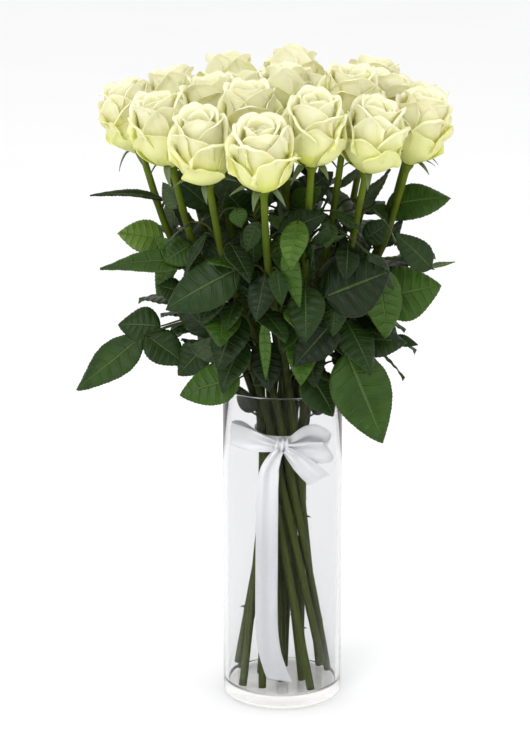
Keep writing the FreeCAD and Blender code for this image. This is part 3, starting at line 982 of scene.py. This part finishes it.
def make_foliage(lines, cloud, stem_cloud, bloom_centres, materials, rng):
    """The rest of the foliage: listed leaflets, then leaflets that fill the open places."""
    soups = {name: Soup() for name in lines}
    taken = np.concatenate(cloud)
    for base, tip, width, tone in HAND_LEAVES:
        base, tip = np.array(base) * MM, np.array(tip) * MM
        roots = {name: point_at(lines[name], base[2] - PETIOLE_RISE) for name in lines}
        name = min(roots, key=lambda n: norm((roots[n] - base)[:2]))
        outward = unit(np.array([base[0], base[1] - 10.0 * MM, 0.0]))
        face = outward * 0.75 + 0.6 * UP
        if base[1] < FRONT_HALF:
            face = np.array([0.25 * outward[0], -0.8, 0.5])
        face = face + rng.uniform(-0.15, 0.15, 3)
        leaf = hang_leaf(soups[name], rng, lines[name], base, tip, width * MM, face, tone)
        taken = np.concatenate([taken, thin(leaf, 3, 3)])
    names = sorted(lines)
    placed = 0
    for attempt in range(FILL_TRIES):
        if placed == FILL_LEAVES:
            break
        name = names[rng.integers(len(names))]
        root = point_at(lines[name], rng.uniform(*FILL_HEIGHTS) * MM - PETIOLE_RISE)
        outward = unit(np.array([root[0], root[1], 0.0]) + rng.normal(0.0, 0.5, 3) * 0.02)
        swing = rng.uniform(-1.3, 1.3)
        heading = np.array([
            outward[0] * cos(swing) - outward[1] * sin(swing),
            outward[0] * sin(swing) + outward[1] * cos(swing),
            0.0,
        ])
        stalk = rng.uniform(12.0, 30.0) * MM
        base = root + heading * stalk + PETIOLE_RISE * UP
        length = rng.uniform(46.0, 76.0) * (1.0 - 0.45 * attempt / FILL_TRIES) * MM
        slope = rng.uniform(-1.9, 1.1)
        along = unit(heading + slope * UP)
        tip = base + along * length
        width = length * rng.uniform(0.52, 0.68)
        face = heading * rng.uniform(0.6, 1.4) + 0.6 * UP
        face = face + rng.uniform(-0.3, 0.3, 3)
        base_reach, tip_reach = norm(base[:2]), norm(tip[:2])
        if tip[2] < FILL_LOWEST_TIP or max(base_reach, tip_reach) > FILL_REACH:
            continue
        if min(base[2], tip[2]) < RIM_ZONE_TOP and base_reach < RIM_ZONE_REACH:
            continue
        spine = base + (tip - base) * np.linspace(0.0, 1.0, 6)[:, None]
        others = np.concatenate([stem_cloud[n] for n in names if n != name])
        if not far_enough(spine, taken, SPINE_GAP) or not far_enough(spine, others, STEM_GAP):
            continue
        trial = Soup()
        leaf = add_leaf(trial, np.random.default_rng(attempt), base, tip, width, face, 0.0)
        probe = thin(leaf, 4, 2)
        from_blooms = norm(probe[:, None] - bloom_centres[None], axis=2).min()
        if from_blooms < BLOOM_GAP or probe[:, 2].min() < FILL_LOWEST_EDGE:
            continue
        if not far_enough(probe, others, SPINE_GAP) or not far_enough(probe, taken, LEAF_GAP):
            continue
        tone = rng.uniform(0.0, 0.45) if rng.random() < 0.85 else rng.uniform(0.55, 0.8)
        own = np.random.default_rng(attempt)
        leaf = hang_leaf(soups[name], own, lines[name], base, tip, width, face, tone)
        taken = np.concatenate([taken, thin(leaf, 3, 3)])
        placed += 1
    for name, soup in soups.items():
        if soup.count:
            piece = soup.build("foliage_" + name, materials)
            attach(piece, "bouquet")


# --- ribbon


def add_strip(soup, line, across, widths, waves, phase):
    """A ribbon along a line: where it is narrower than it was cut, it gathers into pleats."""
    line = np.asarray(line, float)
    count, columns = len(line), 25
    forward = unit(np.gradient(line, axis=0))
    across = np.broadcast_to(np.asarray(across, float), line.shape)
    across = unit(across - forward * np.sum(across * forward, axis=1, keepdims=True))
    normal = np.cross(across, forward)
    widths = np.broadcast_to(np.asarray(widths, float), (count,))
    spare = np.sqrt(np.clip(RIBBON_WIDTH**2 - widths**2, 0.0, None))
    depth = spare / (4.0 * waves) * 0.92
    u = np.linspace(-1.0, 1.0, columns)
    pleat = np.sin(pi * waves * u + phase)
    drop = depth[:, None] * pleat[None]
    grid = (
        line[:, None]
        + across[:, None] * (widths[:, None] * u[None] / 2.0)[:, :, None]
        + normal[:, None] * drop[:, :, None]
    )
    run = distance_along(line)
    soup.shell(grid, RIBBON_THICKNESS, across=u[None], along=run[:, None])
    return run[-1]


def lay(rows, count):
    """A soft line through rows of x, y and z, and the rows' other values at each of its points."""
    rows = np.array(rows)
    points = rows[:, :3] * MM
    at = distance_along(points)
    even = np.linspace(0.0, at[-1], count)
    return smooth_line(points, count), [np.interp(even, at, column) for column in rows[:, 3:].T]


def ribbon_piece(name, node, soup, material):
    piece = soup.build(name, [material])
    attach(piece, "bouquet")
    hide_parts(node)


def make_band(material):
    low, high = (np.array(corner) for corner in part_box("ribbon_band"))
    middle = (low + high) / 2.0
    radius = (high[0] - low[0]) / 2.0 - 0.45 * MM
    turn = np.linspace(0.0, 2.0 * pi, 121)[:-1] - 0.5 * pi
    turn = np.append(turn, turn[0] + 2.0 * pi - 0.012)
    wobble = 1.0 + 0.006 * np.sin(5.0 * turn)
    ring = np.stack([wobble * np.cos(turn), wobble * np.sin(turn), 0.0 * turn], axis=1)
    line = middle + radius * ring
    soup = Soup()
    length = add_strip(soup, line, [0.0, 0.0, 1.0], 13.2 * MM, waves=3.0, phase=0.7)
    ribbon_piece("bow_band", "ribbon_band", soup, material)


def make_knot(material):
    low, high = (np.array(corner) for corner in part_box("ribbon_knot"))
    middle, size = (low + high) / 2.0, high - low
    turn = np.linspace(-0.78 * pi, 0.78 * pi, 49)
    bulge = 1.0 + 0.05 * np.sin(3.0 * turn)
    line = middle + np.stack([
        0.6 * MM * np.sin(turn),
        -np.cos(turn) * (0.5 * size[1] - 1.2 * MM) * bulge,
        np.sin(turn) * (0.5 * size[2] - 1.8 * MM) * bulge,
    ], axis=1)
    widths = (10.6 + 2.0 * np.cos(turn)) * MM
    soup = Soup()
    length = add_strip(soup, line, [1.0, 0.0, 0.10], widths, waves=2.5, phase=0.4)
    ribbon_piece("bow_knot", "ribbon_knot", soup, material)


def make_loop(side, rows, material, phase):
    """One bow loop: out from the knot on its front run, round the end, and back behind."""
    line, (widths, lean) = lay(rows, 90)
    across = np.stack([lean, 0.0 * lean, 0.0 * lean + 1.0], axis=1)
    soup = Soup()
    length = add_strip(soup, line, across, widths * MM, waves=1.5, phase=phase)
    ribbon_piece(
        "bow_loop_" + side, "ribbon_loop_" + side, soup, material,
    )


def make_tail(end, rows, across, material, phase, notch):
    """A loose end that hangs from the knot, with a slanting cut."""
    count = 110
    line, (widths,) = lay(rows, count)
    run = np.linspace(0.0, 1.0, count)
    start, finish = np.array(across)
    share = smooth(run, 0.02, 0.5)[:, None]
    turned = start * (1.0 - share) + finish * share
    soup = Soup()
    length = add_strip(soup, line, turned, widths * MM, waves=1.5, phase=phase)
    cloth = np.concatenate(soup.points)
    half = len(cloth) // 2
    columns = half // count
    u = np.linspace(-1.0, 1.0, columns)
    share = smooth(run, 0.80, 1.0)[:, None]
    for side in (0, half):
        grid = cloth[side : side + half].reshape(count, columns, 3)
        grid += unit(np.gradient(grid, axis=0)) * (share * notch * MM * u[None])[:, :, None]
    soup.points = [cloth]
    ribbon_piece(
        "bow_tail_" + end, "ribbon_tail_" + end, soup, material,
    )


# The bow's runs: rows of the ribbon's middle and its width in millimetres, and for the loops how
# far the ribbon leans out of the upright.
LEFT_LOOP = (
    (-4.5, -33.2, 249, 7, 0), (-12, -33.8, 250, 11, 0.05), (-24, -30.6, 252, 17.5, 0.1),
    (-36, -26, 255, 19.6, 0.1), (-43.8, -22.2, 257, 19.9, 0.06), (-46.4, -17, 257, 19.9, 0.04),
    (-43, -11.4, 256, 19.9, 0.04), (-36, -10.4, 254, 19.6, 0.04), (-24, -17.5, 251, 17, 0),
    (-12.5, -27, 249.5, 11, 0), (-5, -29.2, 249, 7, 0),
)
RIGHT_LOOP = (
    (3.5, -33.2, 248, 7, 0), (10, -33.6, 246.5, 11, -0.06), (20, -31.8, 244.5, 16.5, -0.15),
    (30, -28.2, 242, 19, -0.3), (37.6, -25, 241, 19.8, -0.35), (40.8, -20.6, 243, 19.8, -0.3),
    (37, -15.8, 248.5, 19.8, -0.1), (29, -17, 254, 19.2, 0.1), (20, -22.2, 255, 16, 0.1),
    (11, -27.6, 252, 11, 0), (4, -29.4, 250, 7, 0),
)
LONG_TAIL = (
    (-2.5, -35.6, 246, 8), (-7.5, -37.6, 238, 12), (-12, -37.8, 224, 17.5),
    (-13.6, -37.6, 190, 19.6), (-14, -38.4, 140, 19.8), (-14, -41.6, 84, 19.8),
    (-11.5, -42.6, 56, 19.8), (-6.5, -42.4, 37, 19.8), (-2, -41.6, 24.5, 19.8),
)
SHORT_TAIL = (
    (3, -35.6, 246.5, 8), (8.5, -36.6, 241.5, 12), (16, -36.2, 234.5, 17),
    (24, -33.6, 226, 19.4), (32.5, -29.8, 216.5, 19.8),
)

# Which way each tail's width points, at the knot and at its end.
LONG_ACROSS = ((1.0, 0.0, 0.35), (1.0, 0.05, 0.0))
SHORT_ACROSS = ((0.66, 0.0, 0.75), (0.72, 0.1, 0.68))


def make_ribbon(material):
    make_band(material)
    make_knot(material)
    make_loop("left", LEFT_LOOP, material, 0.3)
    make_loop("right", RIGHT_LOOP, material, 1.2)
    make_tail("long", LONG_TAIL, LONG_ACROSS, material, 0.9, 6.0)
    make_tail("short", SHORT_TAIL, SHORT_ACROSS, material, 0.2, 3.0)


# --- surroundings


FLOOR_REACH = 6.0
FLOOR_DROP = 0.2 * MM
WORLD_STRENGTH = 1.07
SENSOR_WIDTH = 36.0

# Each light: its name, place, target, size, power and spread in degrees.
LIGHTS = (
    ("key_light", (-1.3, -1.7, 2.1), (0.0, 0.0, 0.40), (1.2, 1.2), 25.0, 180.0),
    ("fill_light", (1.8, -1.3, 1.1), (0.0, 0.0, 0.35), (1.0, 1.4), 9.0, 180.0),
    ("top_light", (0.0, 0.3, 2.4), (0.0, 0.0, 0.50), (1.4, 1.4), 8.0, 180.0),
    ("bow_light", (-0.5, -1.6, 0.30), (0.0, 0.0, 0.16), (0.35, 0.35), 0.3, 40.0),
)


def make_floor(material):
    soup = Soup()
    corners = [(-1, -1, 0), (1, -1, 0), (1, 1, 0), (-1, 1, 0)]
    soup.add(np.array(corners) * FLOOR_REACH, [(0, 1, 2, 3)])
    floor = soup.build("studio_floor", [material])
    floor.location.z = -FLOOR_DROP


def make_light(name, place, target, size, power, spread):
    lamp = bpy.data.lights.new(name, "AREA")
    lamp.shape = "RECTANGLE"
    lamp.size, lamp.size_y = size
    lamp.energy = power
    lamp.spread = radians(spread)
    holder = bpy.data.objects.new(name, lamp)
    holder.location = place
    aim = Vector(target) - Vector(place)
    holder.rotation_euler = aim.to_track_quat("-Z", "Y").to_euler()
    bpy.context.scene.collection.objects.link(holder)


def make_surroundings():
    world = bpy.data.worlds.new("studio")
    world.use_nodes = True
    background = world.node_tree.nodes["Background"]
    background.inputs["Color"].default_value = (1.0, 1.0, 1.0, 1.0)
    background.inputs["Strength"].default_value = WORLD_STRENGTH
    scene = bpy.context.scene
    scene.world = world
    scene.view_settings.view_transform = "Standard"
    scene.view_settings.look = "None"
    for light in LIGHTS:
        make_light(*light)


def make_camera():
    lens = bpy.data.cameras.new("photo_camera")
    lens.lens = CAMERA_LENS
    lens.sensor_width = SENSOR_WIDTH
    camera = bpy.data.objects.new("photo_camera", lens)
    camera.location = (0.0, -CAMERA_DISTANCE, CAMERA_HEIGHT)
    camera.rotation_euler = (radians(90.0) - CAMERA_PITCH, 0.0, CAMERA_TURN)
    bpy.context.scene.collection.objects.link(camera)
    bpy.context.scene.camera = camera


# --- putting it together


# Where some CAD leaflets start, in millimetres, and how light each is.
LEAF_TONES = (
    ((-107, 14, 430), 0.88),
    ((-72, -40, 425), 0.55),
    ((4, -92, 450), 0.72),
    ((86, -14, 382), 0.66),
    ((36, -84, 402), 0.10),
    ((56, -62, 345), 0.56),
    ((-38, -82, 427), 0.40),
    ((-38, -62, 322), 0.62),
    ((-128, -12, 347), 0.50),
    ((92, -6, 466), 0.55),
    ((100, -26, 446), 0.30),
)

# Leaflets that the CAD leaves out: base, tip and width in millimetres, and how light each is.
HAND_LEAVES = (
    ((129, 15, 404), (157, 20, 409), 11, 0.85),
    ((100, 10, 339), (124, 10, 333), 12, 0.4),
    ((-111, -8, 355), (-150, -2, 355), 35, 0.45),
    ((-124, -15, 349), (-87, -25, 324), 33, 0.35),
    ((-81, -45, 440), (-106, -45, 424), 30, 0.55),
    ((-70, -30, 343), (-95, -30, 315), 33, 0.3),
    ((42, -75, 469), (37, -80, 444), 17, 0.5),
    ((-16, -75, 379), (-15, -80, 325), 11, 0.75),
    ((-41, -80, 481), (-36, -84, 464), 17, 0.6),
    ((21, -50, 324), (46, -60, 286), 38, 0.3),
    ((-4, -42, 326), (-27, -46, 311), 23, 0.25),
    ((80, 8, 462), (113, 10, 450), 14, 0.6),
    ((72, -38, 443), (95, -38, 459), 23, 0.4),
    ((-22, -92, 471), (-32, -92, 444), 17, 0.35),
    ((-48, -60, 439), (-73, -62, 428), 23, 0.35),
    ((-90, -35, 394), (-113, -35, 400), 23, 0.45),
    ((-27, -16, 274), (-41, -16, 301), 17, 0.1),
    ((28, -14, 272), (43, -14, 294), 15, 0.1),
    ((-20, 22, 274), (-32, 30, 302), 20, 0.1),
    ((16, 26, 272), (26, 36, 300), 20, 0.1),
)

# Leaflets with their bases in front of this plane turn their faces to the front.
FRONT_HALF = 12.0 * MM

# Filling leaflets: how many, where their stalks end in millimetres, how far they may reach
# from the axis and down, and the place beside the vase's rim that they keep out of.
FILL_LEAVES = 210
FILL_TRIES = 9000
FILL_HEIGHTS = (318.0, 478.0)
FILL_REACH = 0.118
FILL_LOWEST_TIP = 0.292
FILL_LOWEST_EDGE = 0.288
RIM_ZONE_TOP = 0.315
RIM_ZONE_REACH = 0.062

# Gaps that filling leaflets keep, and the distances that tell leaflets near and the same.
SPINE_GAP = 5.0 * MM
STEM_GAP = 6.0 * MM
LEAF_GAP = 3.4 * MM
BLOOM_GAP = 36.0 * MM
LEAF_SPAN = 90.0 * MM
SAME_LEAF = 12.0 * MM


def main():
    glass, petal, leaf = glass_material(), petal_material(), leaf_material()
    stem, sepal, satin = stem_material(), sepal_material(), ribbon_material()
    rng = np.random.default_rng(SEED)
    names = sorted(node[5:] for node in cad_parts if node.startswith("stem_"))
    make_vase(glass)
    lines, stem_cloud, bloom_centres = {}, {}, []
    for name in names:
        own = np.random.default_rng([SEED, int(name)])
        line, neck = make_stem(name, [stem, sepal], own)
        level = (cad_points("bloom_" + name) @ neck).min() - line[-1] @ neck
        start = line[-1] + neck * level
        make_bloom(name, start, neck, petal, own, own.uniform(0.0, 1.0))
        lines[name] = line
        stem_cloud[name] = even_line(line, 120)
        bloom_centres.append(start + neck * 32.0 * MM)
    cloud = []
    for name in names:
        if "leaves_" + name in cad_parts:
            make_cad_leaves(name, lines[name], [leaf, stem], rng, cloud)
    make_foliage(lines, cloud, stem_cloud, np.array(bloom_centres), [leaf, stem], rng)
    make_ribbon(satin)
    make_floor(floor_material())
    make_surroundings()
    make_camera()


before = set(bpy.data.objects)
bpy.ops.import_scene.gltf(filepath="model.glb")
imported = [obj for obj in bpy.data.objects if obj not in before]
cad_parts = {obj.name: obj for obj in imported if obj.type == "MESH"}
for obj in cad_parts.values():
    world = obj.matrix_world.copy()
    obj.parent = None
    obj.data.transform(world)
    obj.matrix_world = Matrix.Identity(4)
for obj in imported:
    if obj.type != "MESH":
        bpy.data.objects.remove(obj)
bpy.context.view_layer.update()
main()
